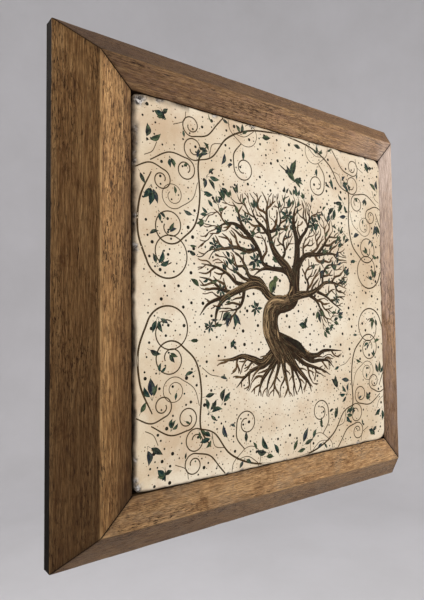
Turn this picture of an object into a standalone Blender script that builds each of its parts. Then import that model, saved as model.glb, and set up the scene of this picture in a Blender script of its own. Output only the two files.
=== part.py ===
"""A decorated clay tile in a chamfered wooden frame, hung on a wall.

The tile lies face out in a pocket that the four mitred rails form, glued to a ledge.
A thin board closes the back. The frame hangs on a nail by a toothed hanger.

Metres, +Z up. The front faces -Y. The origin is where the nail holds the hanger: across and
upwards it is the top of the middle notch, and y = 0 is the plane of the rails' rear faces.
The wall is at y = STAND_OFF. Shapes are drawn about the frame's centre, in an empty there.
"""

import math

import bmesh
import bpy
from mathutils import Vector

# Frame
OUTER = 0.405  # outside of the frame, a square
RAIL_DEPTH = 0.038  # rear face to front face, the thickness of the planed timber
SIDE_HEIGHT = 0.011  # what the chamfer leaves of the outer side
CHAMFER_RUN = 0.027  # inward reach of the chamfer
POCKET_INSET = 0.0517  # outer edge to the pocket that holds the tile
LEDGE_WIDTH = 0.0111  # how far the ledge reaches in behind the tile
RIDGE_RADIUS = 0.0016
ARRIS_RADIUS = 0.0008
ARC_STEPS = 4
MITRE_GAP = 0.00015  # each rail's share of the open line at a mitre
TOUCH_GAP = 0.0003  # left between pieces that touch

# Tile
TILE_SIDE = 0.300
TILE_THICKNESS = 0.012
TILE_PROUD = 0.002  # how far the tile's face stands in front of the rails
TILE_CORNER_RADIUS = 0.008
TILE_EDGE_RADIUS = 0.0026
TILE_ARC_STEPS = 6
BEAD_THICKNESS = 0.0009
BEAD_WIDTH = 0.007
BEAD_LENGTH = 0.250
BEAD_CORNER_RADIUS = 0.003

# Backing board
BOARD_THICKNESS = 0.003
BOARD_OVERLAP = 0.008  # how far the board's rebate is cut into the ledge
BOARD_FIT = 0.0005  # clearance round the board's edge
BOARD_CORNER_RADIUS = 0.002

# Screws
SHANK_RADIUS = 0.0012
HEAD_RADIUS = 0.0028
HEAD_HEIGHT = 0.0012
HEAD_RING_ANGLES = (0, 30, 60)  # degrees round the head's dome; the last ring edges its flat top
SCREW_REACH = 0.013  # under the head
TIP_RADIUS = 0.00025
TIP_LENGTH = 0.002
HOLE_DEPTH = 0.0145
HOLE_RADIUS = SHANK_RADIUS + TOUCH_GAP
ROUND_SIDES = 16
BOARD_SCREW_OFFSET = 0.075  # from the middle of a rail
DRIVER_SLOT_LENGTH = 0.0035
DRIVER_SLOT_WIDTH = 0.0008
DRIVER_SLOT_DEPTH = 0.0007

# V-shaped nails that hold the mitres together
V_LEG = 0.0055
V_THICKNESS = 0.0008
V_DEPTH = 0.007
V_INSETS = {"outer": 0.020, "inner": 0.040}

# Toothed hanger, which stands off the rail in its middle so that a nail's head fits behind it
HANGER_LENGTH = 0.046
HANGER_HEIGHT = 0.011
HANGER_PLATE = 0.001
HANGER_RISE = 0.0011
HANGER_TAB = 0.0095
HANGER_BEND = 0.0015
HANGER_INSET = 0.027  # its middle line from the frame's outer edge
TOOTH_COUNT = 9
TOOTH_PITCH = 0.0024
TOOTH_DEPTH = 0.0018

# Felt bumpers, a little thicker than the hanger stands out
STAND_OFF = 0.003
BUMPER_RADIUS = 0.006
BUMPER_SIDES = 24
BUMPER_INSET = 0.020  # from the frame's bottom edge
BUMPER_SIDE_INSET = 0.042  # from its sides, clear of the mitre

HALF = OUTER / 2
REBATE_INSET = POCKET_INSET + LEDGE_WIDTH - BOARD_OVERLAP
REBATE_DEPTH = BOARD_THICKNESS + TOUCH_GAP
BOARD_SIDE = 2 * (HALF - REBATE_INSET - BOARD_FIT)
TILE_FRONT = RAIL_DEPTH + TILE_PROUD
TILE_BACK = TILE_FRONT - TILE_THICKNESS
LEDGE_TOP = TILE_BACK - BEAD_THICKNESS - 2 * TOUCH_GAP
SCREW_INSET = REBATE_INSET + BOARD_OVERLAP / 2
HANGER_Z = HALF - HANGER_INSET
CENTRE_Z = -(HANGER_Z - HANGER_HEIGHT / 2 + TOOTH_DEPTH)  # the frame's centre, under the origin
CUTTER_MARGIN = 0.001  # how far a cutter runs past the face it starts from

# The side of the frame that each turn about Y, seen from the front, brings the top rail to
SIDES = {"top": 0, "right": 90, "bottom": 180, "left": 270}
CORNERS = {"top_right": 0, "bottom_right": 90, "bottom_left": 180, "top_left": 270}

MATERIALS = {
    "stained_wood": ((0.23, 0.125, 0.058), 0.55, 0.0),
    "clay": ((0.80, 0.71, 0.55), 0.6, 0.0),
    "adhesive": ((0.75, 0.74, 0.70), 0.5, 0.0),
    "hardboard": ((0.33, 0.20, 0.11), 0.8, 0.0),
    "steel": ((0.62, 0.62, 0.60), 0.35, 1.0),
    "brass_plate": ((0.70, 0.52, 0.24), 0.35, 1.0),
    "felt": ((0.16, 0.14, 0.12), 0.95, 0.0),
}


def clear_scene():
    for thing in list(bpy.data.objects):
        bpy.data.objects.remove(thing, do_unlink=True)


def material(name):
    found = bpy.data.materials.get(name)
    if found:
        return found
    colour, roughness, metallic = MATERIALS[name]
    made = bpy.data.materials.new(name)
    made.use_nodes = True
    shader = made.node_tree.nodes["Principled BSDF"]
    shader.inputs["Base Color"].default_value = (*colour, 1.0)
    shader.inputs["Roughness"].default_value = roughness
    shader.inputs["Metallic"].default_value = metallic
    made.diffuse_color = (*colour, 1.0)
    return made


def add_object(name, mesh, finish=None, parent=None):
    """Adds an object under parent, or under the empty at the frame's centre."""
    made = bpy.data.objects.new(name, mesh)
    bpy.context.scene.collection.objects.link(made)
    made.parent = parent or bpy.data.objects.get("frame_centre")
    if finish and not mesh.materials:
        mesh.materials.append(material(finish))
    return made


def add_frame_centre():
    bpy.context.scene.collection.objects.link(bpy.data.objects.new("frame_centre", None))
    bpy.data.objects["frame_centre"].location = (0, 0, CENTRE_Z)


def add_turned_empty(name, degrees):
    """An empty at the origin, turned clockwise about the front-to-back axis as seen from the front."""
    empty = add_object(name, None)
    empty.rotation_euler = (0, math.radians(degrees), 0)
    return empty


def hide_helper(thing):
    thing.hide_render = True
    thing.display_type = "WIRE"


def add_boolean(thing, cutter):
    cut = thing.modifiers.new("cut_" + cutter.name, "BOOLEAN")
    cut.operation = "DIFFERENCE"
    cut.solver = "EXACT"
    cut.object = cutter


def filleted(corners):
    """The closed outline through corners, each (point, radius), with an arc at every radius over zero."""
    outline = []
    for i, (point, radius) in enumerate(corners):
        if radius == 0:
            outline.append(Vector(point))
            continue
        here = Vector(point)
        back = (Vector(corners[i - 1][0]) - here).normalized()
        ahead = (Vector(corners[(i + 1) % len(corners)][0]) - here).normalized()
        half_angle = back.angle(ahead) / 2
        centre = here + (back + ahead).normalized() * radius / math.sin(half_angle)
        start = (here + back * radius / math.tan(half_angle) - centre).normalized()
        end = (here + ahead * radius / math.tan(half_angle) - centre).normalized()
        for step in range(ARC_STEPS + 1):
            outline.append(centre + start.slerp(end, step / ARC_STEPS) * radius)
    return outline


def rounded_square(side_x, side_z, radius, steps):
    """A rectangle's outline in x and z, with an arc of radius at each corner."""
    outline = []
    for quarter in range(4):
        middle = math.radians(45 + 90 * quarter)
        centre_x = math.copysign(side_x / 2 - radius, math.cos(middle))
        centre_z = math.copysign(side_z / 2 - radius, math.sin(middle))
        for step in range(steps + 1):
            angle = math.radians(90 * quarter + 90 * step / steps)
            outline.append((centre_x + radius * math.cos(angle), centre_z + radius * math.sin(angle)))
    return outline


def circle(radius, sides, centre=(0, 0)):
    angles = [2 * math.pi * i / sides for i in range(sides)]
    return [(centre[0] + radius * math.cos(a), centre[1] + radius * math.sin(a)) for a in angles]


def add_prism(bm, outline, front_y, rear_y):
    """Adds a closed prism with this outline in x and z, from front_y to rear_y."""
    front = [bm.verts.new((x, front_y, z)) for x, z in outline]
    rear = [bm.verts.new((x, rear_y, z)) for x, z in outline]
    bm.faces.new(front)
    bm.faces.new(reversed(rear))
    for i in range(len(outline)):
        j = (i + 1) % len(outline)
        bm.faces.new((front[j], front[i], rear[i], rear[j]))


def finish_mesh(bm, name):
    bmesh.ops.recalc_face_normals(bm, faces=bm.faces)
    mesh = bpy.data.meshes.new(name)
    bm.to_mesh(mesh)
    bm.free()
    return mesh


def prism_mesh(name, outlines, front_y, rear_y):
    bm = bmesh.new()
    for outline in outlines:
        add_prism(bm, outline, front_y, rear_y)
    return finish_mesh(bm, name)


def v_outline(grow):
    """A V nail for the top right mitre, with its spine at the origin.

    Its legs run back along the top and the right rail. grow widens it all round, for the slot.
    """
    half = V_THICKNESS / 2 + grow
    leg = V_LEG + grow
    outside = [(-leg, half), (half, half)]
    inside = [(-half, -half), (-leg, -half)]
    return outside + [(half, -leg), (-half, -leg)] + inside


def at_corner(outline, inset):
    """Moves an outline from the origin to the top right mitre, inset from the outer edges."""
    return [(x + HALF - inset, z + HALF - inset) for x, z in outline]


def mirrored(outline):
    return [(-x, z) for x, z in outline]


def rail_profile():
    """The rail's cross-section as (inset from the outer edge, height above the rear face)."""
    ledge_inset = POCKET_INSET + LEDGE_WIDTH
    return filleted(
        [
            ((0, 0), 0),
            ((0, SIDE_HEIGHT), ARRIS_RADIUS),
            ((CHAMFER_RUN, RAIL_DEPTH), RIDGE_RADIUS),
            ((POCKET_INSET, RAIL_DEPTH), ARRIS_RADIUS),
            ((POCKET_INSET, LEDGE_TOP), 0),
            ((ledge_inset, LEDGE_TOP), 0),
            ((ledge_inset, REBATE_DEPTH), 0),
            ((REBATE_INSET, REBATE_DEPTH), 0),
            ((REBATE_INSET, 0), 0),
        ]
    )


def rail_mesh():
    """The top rail: its profile drawn along x, with both ends cut at 45 degrees."""
    bm = bmesh.new()
    ends = []
    for sign in (-1, 1):
        end = []
        for inset, height in rail_profile():
            end.append(bm.verts.new((sign * (HALF - inset - MITRE_GAP), -height, HALF - inset)))
        ends.append(end)
    left, right = ends
    bm.faces.new(left)
    bm.faces.new(reversed(right))
    for i in range(len(left)):
        j = (i + 1) % len(left)
        bm.faces.new((left[j], left[i], right[i], right[j]))
    return finish_mesh(bm, "rail")


def rail_holes(side):
    """One hidden mesh that cuts a rail's V slots and its screws' pilot holes."""
    bm = bmesh.new()
    for inset in V_INSETS.values():
        slot = at_corner(v_outline(TOUCH_GAP), inset)
        add_prism(bm, slot, -V_DEPTH - 2 * TOUCH_GAP, CUTTER_MARGIN)
        add_prism(bm, mirrored(slot), -V_DEPTH - 2 * TOUCH_GAP, CUTTER_MARGIN)
    centres = [(sign * BOARD_SCREW_OFFSET, HALF - SCREW_INSET) for sign in (-1, 1)]
    if side == "top":
        centres += [(sign * hanger_hole_x(), HANGER_Z) for sign in (-1, 1)]
    for centre in centres:
        add_prism(bm, circle(HOLE_RADIUS, ROUND_SIDES, centre), -HOLE_DEPTH, CUTTER_MARGIN)
    return finish_mesh(bm, "rail_holes_" + side)


def add_rails():
    for side, degrees in SIDES.items():
        turned = add_turned_empty("side_" + side, degrees)
        rail = add_object("rail_" + side, rail_mesh(), "stained_wood", turned)
        holes = add_object("holes_" + side, rail_holes(side), None, turned)
        hide_helper(holes)
        add_boolean(rail, holes)


def add_v_nails():
    for corner, degrees in CORNERS.items():
        turned = add_turned_empty("corner_" + corner, degrees)
        for place, inset in V_INSETS.items():
            outline = at_corner(v_outline(0), inset)
            mesh = prism_mesh("v_nail", [outline], -V_DEPTH, -TOUCH_GAP)
            add_object(f"v_nail_{corner}_{place}", mesh, "steel", turned)


def add_tile():
    outline = rounded_square(TILE_SIDE, TILE_SIDE, TILE_CORNER_RADIUS, TILE_ARC_STEPS)
    mesh = prism_mesh("clay_tile", [outline], -TILE_FRONT, -TILE_BACK)
    tile = add_object("clay_tile", mesh, "clay")
    soften = tile.modifiers.new("worn_edges", "BEVEL")
    soften.width = TILE_EDGE_RADIUS
    soften.segments = 3
    soften.limit_method = "ANGLE"
    soften.angle_limit = math.radians(40)


def add_adhesive():
    """A bead of adhesive on each rail's ledge, under the tile's edge."""
    front_y = -(TILE_BACK - TOUCH_GAP)
    rear_y = -(LEDGE_TOP + TOUCH_GAP)
    centre_z = HALF - POCKET_INSET - LEDGE_WIDTH / 2 - TOUCH_GAP
    outline = rounded_square(BEAD_LENGTH, BEAD_WIDTH, BEAD_CORNER_RADIUS, ARC_STEPS)
    raised = [(x, z + centre_z) for x, z in outline]
    for side in SIDES:
        mesh = prism_mesh("adhesive_bead", [raised], front_y, rear_y)
        add_object("adhesive_bead_" + side, mesh, "adhesive", bpy.data.objects["side_" + side])


def screw_profile():
    """Radius and depth below the head's seat, from the tip to the top of the head."""
    shank = [(TIP_RADIUS, SCREW_REACH), (SHANK_RADIUS, SCREW_REACH - TIP_LENGTH), (SHANK_RADIUS, 0)]
    angles = [math.radians(degrees) for degrees in HEAD_RING_ANGLES]
    return shank + [(HEAD_RADIUS * math.cos(a), -HEAD_HEIGHT * math.sin(a)) for a in angles]


def screw_mesh():
    """A round-headed screw with a cross slot, pointing along -Y from its head's seat at the origin."""
    bm = bmesh.new()
    rings = []
    for radius, depth in screw_profile():
        rings.append([bm.verts.new((x, -depth, z)) for x, z in circle(radius, ROUND_SIDES)])
    for lower, upper in zip(rings, rings[1:]):
        for i in range(ROUND_SIDES):
            j = (i + 1) % ROUND_SIDES
            bm.faces.new((lower[i], lower[j], upper[j], upper[i]))
    bm.faces.new(rings[0])
    bm.faces.new(reversed(rings[-1]))
    blank = add_object("screw_blank", finish_mesh(bm, "screw_blank"), "steel")
    reach, half = DRIVER_SLOT_LENGTH / 2, DRIVER_SLOT_WIDTH / 2
    # A plus sign, corner by corner
    cross = [(half, half), (half, reach), (-half, reach), (-half, half), (-reach, half), (-reach, -half)]
    cross += [(-x, -z) for x, z in cross]
    top = HEAD_HEIGHT * math.sin(math.radians(HEAD_RING_ANGLES[-1]))
    slot_mesh = prism_mesh("driver_slot", [cross], top - DRIVER_SLOT_DEPTH, top + CUTTER_MARGIN)
    slot = add_object("driver_slot", slot_mesh)
    hide_helper(slot)
    add_boolean(blank, slot)
    bpy.context.view_layer.update()
    ready = blank.evaluated_get(bpy.context.evaluated_depsgraph_get())
    mesh = bpy.data.meshes.new_from_object(ready)
    bpy.data.objects.remove(blank)
    bpy.data.objects.remove(slot)
    return mesh


def add_screw(name, mesh, x, z, seat_y, parent=None):
    screw = add_object(name, mesh, "steel", parent)
    screw.location = (x, seat_y, z)


def add_board(screw):
    outline = rounded_square(BOARD_SIDE, BOARD_SIDE, BOARD_CORNER_RADIUS, 1)
    mesh = prism_mesh("backing_board", [outline], -BOARD_THICKNESS, 0)
    board = add_object("backing_board", mesh, "hardboard")
    z = HALF - SCREW_INSET
    for side in SIDES:
        turned = bpy.data.objects["side_" + side]
        centres = [(sign * BOARD_SCREW_OFFSET, z) for sign in (-1, 1)]
        for number, (x, _) in enumerate(centres, start=1):
            add_screw(f"board_screw_{side}_{number}", screw, x, z, TOUCH_GAP, turned)
        outlines = [circle(HOLE_RADIUS, ROUND_SIDES, centre) for centre in centres]
        holes = prism_mesh("board_holes", outlines, -BOARD_THICKNESS - CUTTER_MARGIN, CUTTER_MARGIN)
        drill = add_object("board_holes_" + side, holes, None, turned)
        hide_helper(drill)
        add_boolean(board, drill)


def hanger_hole_x():
    return HANGER_LENGTH / 2 - HANGER_TAB / 2


def hanger_stations():
    """(x, lift off the rail, cut into the lower edge) along the hanger, from its left end."""
    rise_end = HANGER_LENGTH / 2 - HANGER_TAB - HANGER_BEND
    right = [(HANGER_LENGTH / 2, 0, 0), (HANGER_LENGTH / 2 - HANGER_TAB, 0, 0), (rise_end, HANGER_RISE, 0)]
    first = -TOOTH_PITCH * TOOTH_COUNT / 2
    teeth = []
    for i in range(2 * TOOTH_COUNT + 1):
        teeth.append((first + i * TOOTH_PITCH / 2, HANGER_RISE, TOOTH_DEPTH * (i % 2)))
    return [(-x, lift, cut) for x, lift, cut in right] + teeth + right[::-1]


def add_hanger(screw):
    bm = bmesh.new()
    columns = []
    for x, lift, cut in hanger_stations():
        front_y = TOUCH_GAP + lift
        rear_y = front_y + HANGER_PLATE
        top_z = HANGER_Z + HANGER_HEIGHT / 2
        low_z = HANGER_Z - HANGER_HEIGHT / 2 + cut
        corners = [(x, front_y, top_z), (x, rear_y, top_z), (x, rear_y, low_z), (x, front_y, low_z)]
        columns.append([bm.verts.new(corner) for corner in corners])
    for left, right in zip(columns, columns[1:]):
        for i in range(4):
            j = (i + 1) % 4
            bm.faces.new((left[i], right[i], right[j], left[j]))
    bm.faces.new(columns[0])
    bm.faces.new(reversed(columns[-1]))
    hanger = add_object("sawtooth_hanger", finish_mesh(bm, "sawtooth_hanger"), "brass_plate")
    outlines = []
    for side, sign in (("left", -1), ("right", 1)):
        x = sign * hanger_hole_x()
        outlines.append(circle(HOLE_RADIUS, ROUND_SIDES, (x, HANGER_Z)))
        add_screw("hanger_screw_" + side, screw, x, HANGER_Z, 2 * TOUCH_GAP + HANGER_PLATE)
    drill = add_object("hanger_holes", prism_mesh("hanger_holes", outlines, -CUTTER_MARGIN, STAND_OFF))
    hide_helper(drill)
    add_boolean(hanger, drill)


def add_bumpers():
    for side, sign in (("left", -1), ("right", 1)):
        centre = (sign * (HALF - BUMPER_SIDE_INSET), -(HALF - BUMPER_INSET))
        mesh = prism_mesh("felt_bumper", [circle(BUMPER_RADIUS, BUMPER_SIDES, centre)], TOUCH_GAP, STAND_OFF)
        add_object("felt_bumper_" + side, mesh, "felt")


def shade_round_pieces():
    for thing in bpy.context.scene.objects:
        if thing.type == "MESH" and not thing.hide_render:
            thing.data.shade_smooth()
            thing.data.set_sharp_from_angle(angle=math.radians(35))


def main():
    clear_scene()
    add_frame_centre()
    add_rails()
    add_v_nails()
    add_tile()
    add_adhesive()
    screw = screw_mesh()
    add_board(screw)
    add_hanger(screw)
    add_bumpers()
    shade_round_pieces()


main()
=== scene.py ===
"""The looks of a framed clay tile with a tree of life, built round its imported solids.

Metres, in the CAD's own frame: the front faces -Y and the origin is the hang point.
The picture on the tile is drawn by rules in millimetres from its own middle, and laid on the
tile as thin raised brushwork.
"""

import math

import bmesh
import bpy
import numpy as np
from mathutils import Matrix, Vector


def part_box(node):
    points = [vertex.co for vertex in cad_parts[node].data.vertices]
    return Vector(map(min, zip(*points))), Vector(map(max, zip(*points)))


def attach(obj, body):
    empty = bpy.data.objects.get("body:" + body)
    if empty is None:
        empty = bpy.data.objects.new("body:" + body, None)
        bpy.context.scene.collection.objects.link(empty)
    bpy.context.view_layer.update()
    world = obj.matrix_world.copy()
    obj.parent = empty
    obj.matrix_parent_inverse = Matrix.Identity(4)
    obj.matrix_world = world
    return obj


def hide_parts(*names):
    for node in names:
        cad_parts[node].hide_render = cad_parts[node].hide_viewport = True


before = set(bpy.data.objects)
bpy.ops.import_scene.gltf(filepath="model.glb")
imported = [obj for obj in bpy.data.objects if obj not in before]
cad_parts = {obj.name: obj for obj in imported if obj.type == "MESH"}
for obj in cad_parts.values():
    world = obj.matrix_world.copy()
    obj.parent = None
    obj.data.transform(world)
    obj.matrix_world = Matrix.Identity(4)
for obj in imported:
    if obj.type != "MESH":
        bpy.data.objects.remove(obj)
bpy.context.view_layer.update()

MM = 0.001
CLEARANCE = 0.0003  # round a fixing or a bead, as in the CAD

# Places from the frame
TILE_LOW, TILE_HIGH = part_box("clay_tile")
CENTRE_Z = (TILE_LOW.z + TILE_HIGH.z) / 2
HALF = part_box("rail_right")[1].x  # half the frame's outer side
RAIL_DEPTH = -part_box("rail_top")[0].y
POCKET_FLOOR = -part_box("adhesive_bead_top")[1].y - CLEARANCE  # the ledge's height over the rear face

# The rail's section, as in the CAD
SIDE_HEIGHT = 0.011
CHAMFER_RUN = 0.027
POCKET_INSET = 0.0517
LEDGE_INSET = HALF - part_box("rail_top")[0].z + CENTRE_Z
REBATE_INSET = LEDGE_INSET - 0.008
REBATE_DEPTH = 0.0033
MITRE_GAP = 0.00015
HOLE_RADIUS = 0.0015
HOLE_DEPTH = 0.015

# The tile, in millimetres from its middle
TILE_HALF = (TILE_HIGH.x - TILE_LOW.x) / 2 / MM + 0.3  # its outline swells a little past the solid's
TILE_THICKNESS = (TILE_HIGH.y - TILE_LOW.y) / MM
LEFT_RADIUS, RIGHT_RADIUS = 5.0, 9.5
PICTURE_OFFSET = np.array((3.0, -1.0))  # the print sits a little off the tile's middle

# Brushwork, in millimetres
PAINT_HEIGHT = 0.055
LAYER_HEIGHT = 0.012
SUNK = 0.04
EDGE_KEEP = 0.7  # paint stops this far inside the tile's outline

# The camera: its place from the middle of the frame's front, in metres, and its angles in degrees
EYE_X, EYE_Y, EYE_Z = -0.326, -0.3404, -0.0247
TURN, TILT, ROLL = -36.15, 2.5, 0.53
LENS = 30.7


# ---- shader nodes


def srgb(*display):
    """A colour given in 0-255 display values, as the linear colour that a shader takes."""
    share = np.array(display) / 255
    linear = np.where(share <= 0.04045, share / 12.92, ((share + 0.055) / 1.055) ** 2.4)
    return (*linear.tolist(), 1.0)


class Finish:
    """A material under construction. Its methods add nodes and return their output sockets."""

    def __init__(self, name):
        self.material = bpy.data.materials.new(name)
        self.material.use_nodes = True
        self.tree = self.material.node_tree
        self.shader = self.tree.nodes["Principled BSDF"]
        self.colour = None

    def plug(self, node, inputs):
        for key, value in inputs.items():
            if isinstance(value, bpy.types.NodeSocket):
                self.tree.links.new(value, node.inputs[key])
            else:
                node.inputs[key].default_value = value

    def add(self, kind, inputs, output=0, **settings):
        node = self.tree.nodes.new("ShaderNode" + kind)
        for name, value in settings.items():
            setattr(node, name, value)
        self.plug(node, inputs)
        return node.outputs[output]

    def place(self, scale=(1, 1, 1), shift=(0, 0, 0)):
        """The piece's own coordinates, scaled and shifted."""
        own = self.add("TexCoord", {}, "Object")
        return self.add("Mapping", {"Vector": own, "Scale": scale, "Location": shift})

    def noise(self, scale, detail, roughness, distortion=0.0, shift=(0, 0, 0)):
        """Noise with one scale, or one for each of the piece's axes."""
        axes, even = (scale, 1.0) if isinstance(scale, tuple) else ((1, 1, 1), scale)
        inputs = {"Vector": self.place(axes, shift), "Scale": even, "Detail": detail}
        return self.add("TexNoise", inputs | {"Roughness": roughness, "Distortion": distortion})

    def ramp(self, value, *stops):
        """value through a ramp of (position, display colour or grey)."""
        output = self.add("ValToRGB", {0: value})
        elements = output.node.color_ramp.elements
        while len(elements) < len(stops):
            elements.new(0.5)
        for element, (position, colour) in zip(elements, stops):
            element.position = position
            element.color = srgb(*colour) if isinstance(colour, tuple) else (*[colour] * 3, 1.0)
        return output

    def tint(self, tone, value, *stops):
        """Mixes tone into the colour by value, through a ramp if it has stops."""
        share = self.ramp(value, *stops) if stops else value
        tone = srgb(*tone) if isinstance(tone, tuple) else tone
        self.colour = self.add("Mix", {0: share, 6: self.colour, 7: tone}, 2, data_type="RGBA")

    def times(self, first, second):
        return self.add("Math", {0: first, 1: second}, operation="MULTIPLY")

    def plus(self, first, second):
        return self.add("Math", {0: first, 1: second}, operation="ADD")

    def attribute(self, name, output="Fac"):
        return self.add("Attribute", {}, output, attribute_name=name)

    def bump(self, height, distance, strength):
        relief = self.add("Bump", {"Height": height, "Distance": distance, "Strength": strength})
        self.plug(self.shader, {"Normal": relief})

    def surface(self, roughness, **others):
        inputs = {name.replace("_", " "): value for name, value in others.items()}
        self.plug(self.shader, {"Base Color": self.colour, "Roughness": roughness} | inputs)
        return self.material


def wood(name, shift, stain, fade, lightness):
    """Stained open-grained wood along the piece's own X. fade is the stain's share all over."""
    f = Finish(name)

    def grain(*settings):
        return f.noise(*settings, shift=shift)

    def lit(*colour):
        return tuple(lightness * c for c in colour)

    streaks = grain((34, 640, 640), 6, 0.7, 0.5)
    bands = grain((2.5, 60, 60), 3, 0.5, 0.8)
    veins = grain((7, 230, 230), 3, 0.6, 0.6)
    blotches = grain((30, 60, 60), 8, 0.82, 0.8)
    fibres = grain((90, 1700, 1700), 4, 0.7)
    flecks = f.ramp(grain((210, 1250, 1250), 3, 0.65, 0.3), (0.52, 0.0), (0.60, 1.0))
    crowded = f.ramp(grain((12, 60, 60), 4, 0.65), (0.42, 0.15), (0.6, 1.0))
    checks = f.ramp(grain((60, 520, 520), 2, 0.5), (0.68, 0.0), (0.73, 1.0))
    dark, brown, pale = lit(86, 57, 30), lit(122, 88, 53), lit(184, 148, 102)
    f.colour = f.ramp(streaks, (0.30, dark), (0.43, brown), (0.57, lit(150, 115, 73)), (0.72, pale))
    f.tint(brown, bands, (0.38, 0.0), (0.64, 0.4))
    f.tint(dark, veins, (0.52, 0.0), (0.66, 0.5))
    f.tint(pale, veins, (0.36, 0.4), (0.48, 0.0))
    f.tint(stain, blotches, (0.48, fade), (0.58, fade + 0.5))
    f.tint(lit(74, 46, 22), blotches, (0.34, 0.75), (0.48, 0.0))
    f.tint((62, 38, 18), fibres, (0.40, 0.6), (0.56, 0.0))
    f.tint(pale, fibres, (0.54, 0.0), (0.70, 0.4))
    f.tint((44, 26, 13), f.times(f.times(flecks, crowded), 0.95))
    f.tint((30, 18, 10), f.times(checks, 0.85))
    # Dark brown where the rail is darkened: partly stain, partly painted shade and shadow
    f.tint((46, 27, 11), f.attribute("stain_and_shade"))
    # A pale pinkish painted sheen, broken up by the fibres
    f.tint((206, 186, 172), f.times(f.attribute("painted_sheen"), f.ramp(fibres, (0.42, 0.5), (0.54, 1.2))))
    f.tint((202, 162, 110), f.attribute("worn"))
    # Near black: dark joints and dirt, and painted shade in the pocket and on the outer side
    f.tint((14, 9, 4), f.attribute("grime_and_shade"))
    hollow = f.plus(f.times(flecks, -0.4), f.times(checks, -0.8))
    f.bump(f.plus(f.times(streaks, 0.6), hollow), 0.0003, 0.7)
    gloss = f.ramp(f.plus(streaks, f.times(flecks, 0.3)), (0.35, 0.46), (0.85, 0.66))
    return f.surface(f.plus(gloss, f.times(f.attribute("grime_and_shade"), 0.4)), Specular_IOR_Level=0.1)


def clay():
    """Tumbled cream clay: clouded with tan, pale round the tree, grey where it is chipped."""
    f = Finish("printed_clay")
    clouds = f.noise(13, 5, 0.55, 0.6)
    patches = f.noise(34, 5, 0.65, 0.4, (3, 1, 2))
    grit = f.noise(900, 4, 0.7)
    crumbs = f.noise(330, 4, 0.7)
    middle = f.place((8.6, 0.0, 6.2), (0, 0, 0.13))
    glow = f.add("TexGradient", {"Vector": middle}, 1, gradient_type="SPHERICAL")
    glow = f.ramp(glow, (0.0, 0.0), (0.7, 1.0))
    f.colour = f.ramp(clouds, (0.38, (226, 215, 192)), (0.52, (214, 198, 170)), (0.68, (194, 170, 138)))
    f.tint((194, 165, 134), patches, (0.5, 0.0), (0.72, 0.6))
    f.tint((224, 214, 194), f.times(glow, f.ramp(patches, (0.35, 1.0), (0.7, 0.3))))
    f.tint((182, 152, 116), f.times(f.attribute("tanned"), f.ramp(patches, (0.3, 0.4), (0.6, 1.0))))
    f.tint((170, 140, 104), grit, (0.35, 0.18), (0.6, 0.0))
    f.tint((120, 88, 58), f.noise(420, 2, 0.5), (0.70, 0.0), (0.76, 0.55))
    dust = f.ramp(crumbs, (0.40, (40, 37, 35)), (0.50, (140, 135, 130)), (0.62, (222, 218, 212)))
    f.tint(dust, f.attribute("chipped"))
    # Dark at the tile's rim and on its sides: partly dirt, partly painted shade
    f.tint(f.ramp(crumbs, (0.38, (36, 28, 20)), (0.60, (108, 90, 68))), f.attribute("side"))
    f.bump(f.plus(grit, f.times(patches, 2.0)), 0.0001, 0.6)
    return f.surface(f.ramp(grit, (0.3, 0.5), (0.7, 0.68)), Specular_IOR_Level=0.25)


def paint_finish(name, mottle):
    """Brushwork in the colour that each stroke carries, mottled like a worn print."""
    f = Finish(name)
    f.colour = f.attribute("paint", "Color")
    light = f.ramp(f.noise(360, 4, 0.7), (0.50, 0.0), (0.68, mottle))
    f.tint((100, 112, 82), light)
    dark = f.noise(260, 3, 0.6, shift=(5, 2, 1))
    f.tint((20, 17, 11), dark, (0.48, 0.0), (0.66, 0.7 * mottle + 0.1))
    f.tint((206, 184, 150), f.noise(1500, 3, 0.7), (0.66, 0.0), (0.78, 0.35))
    f.bump(f.noise(1200, 3, 0.6), 0.00003, 0.5)
    return f.surface(f.ramp(light, (0.0, 0.7), (1.0, 0.8)), Specular_IOR_Level=0.07)


def metal(name, colour, tarnish, roughness):
    f = Finish(name)
    spots = f.noise(300, 5, 0.65)
    f.colour = srgb(*colour)
    f.tint(tarnish, spots, (0.45, 0.0), (0.75, 0.8))
    f.bump(f.plus(f.noise((60, 60, 2500), 3, 0.6), spots), 0.00003, 0.5)
    return f.surface(f.ramp(spots, (0.35, roughness), (0.75, roughness + 0.25)), Metallic=1.0)


def hardboard():
    """Pressed brown fibreboard, smooth with short dark and pale fibres."""
    f = Finish("pressed_hardboard")
    fibres = f.noise((260, 260, 900), 5, 0.7, 1.5)
    crossing = f.noise((900, 260, 260), 5, 0.7, 1.5)
    clouds = f.noise(14, 4, 0.6)
    f.colour = f.ramp(fibres, (0.35, (106, 76, 50)), (0.5, (142, 107, 74)), (0.68, (172, 138, 100)))
    f.tint((98, 70, 46), crossing, (0.5, 0.0), (0.7, 0.6))
    f.tint((116, 88, 62), clouds, (0.4, 0.0), (0.75, 0.45))
    f.bump(f.plus(fibres, crossing), 0.00008, 0.6)
    return f.surface(f.ramp(clouds, (0.3, 0.62), (0.8, 0.8)))


def felt():
    f = Finish("pressed_felt")
    fuzz = f.noise(1800, 5, 0.75, 1.0)
    f.colour = f.ramp(fuzz, (0.3, (38, 34, 30)), (0.55, (68, 62, 56)), (0.8, (112, 104, 96)))
    f.bump(fuzz, 0.0004, 0.9)
    return f.surface(0.95, Sheen_Weight=0.35, Sheen_Roughness=0.5)


def adhesive():
    f = Finish("cured_adhesive")
    lumps = f.noise(240, 4, 0.6)
    f.colour = f.ramp(lumps, (0.35, (206, 200, 186)), (0.7, (232, 229, 220)))
    f.bump(lumps, 0.0003, 0.6)
    return f.surface(f.ramp(lumps, (0.3, 0.4), (0.8, 0.6)))


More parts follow.
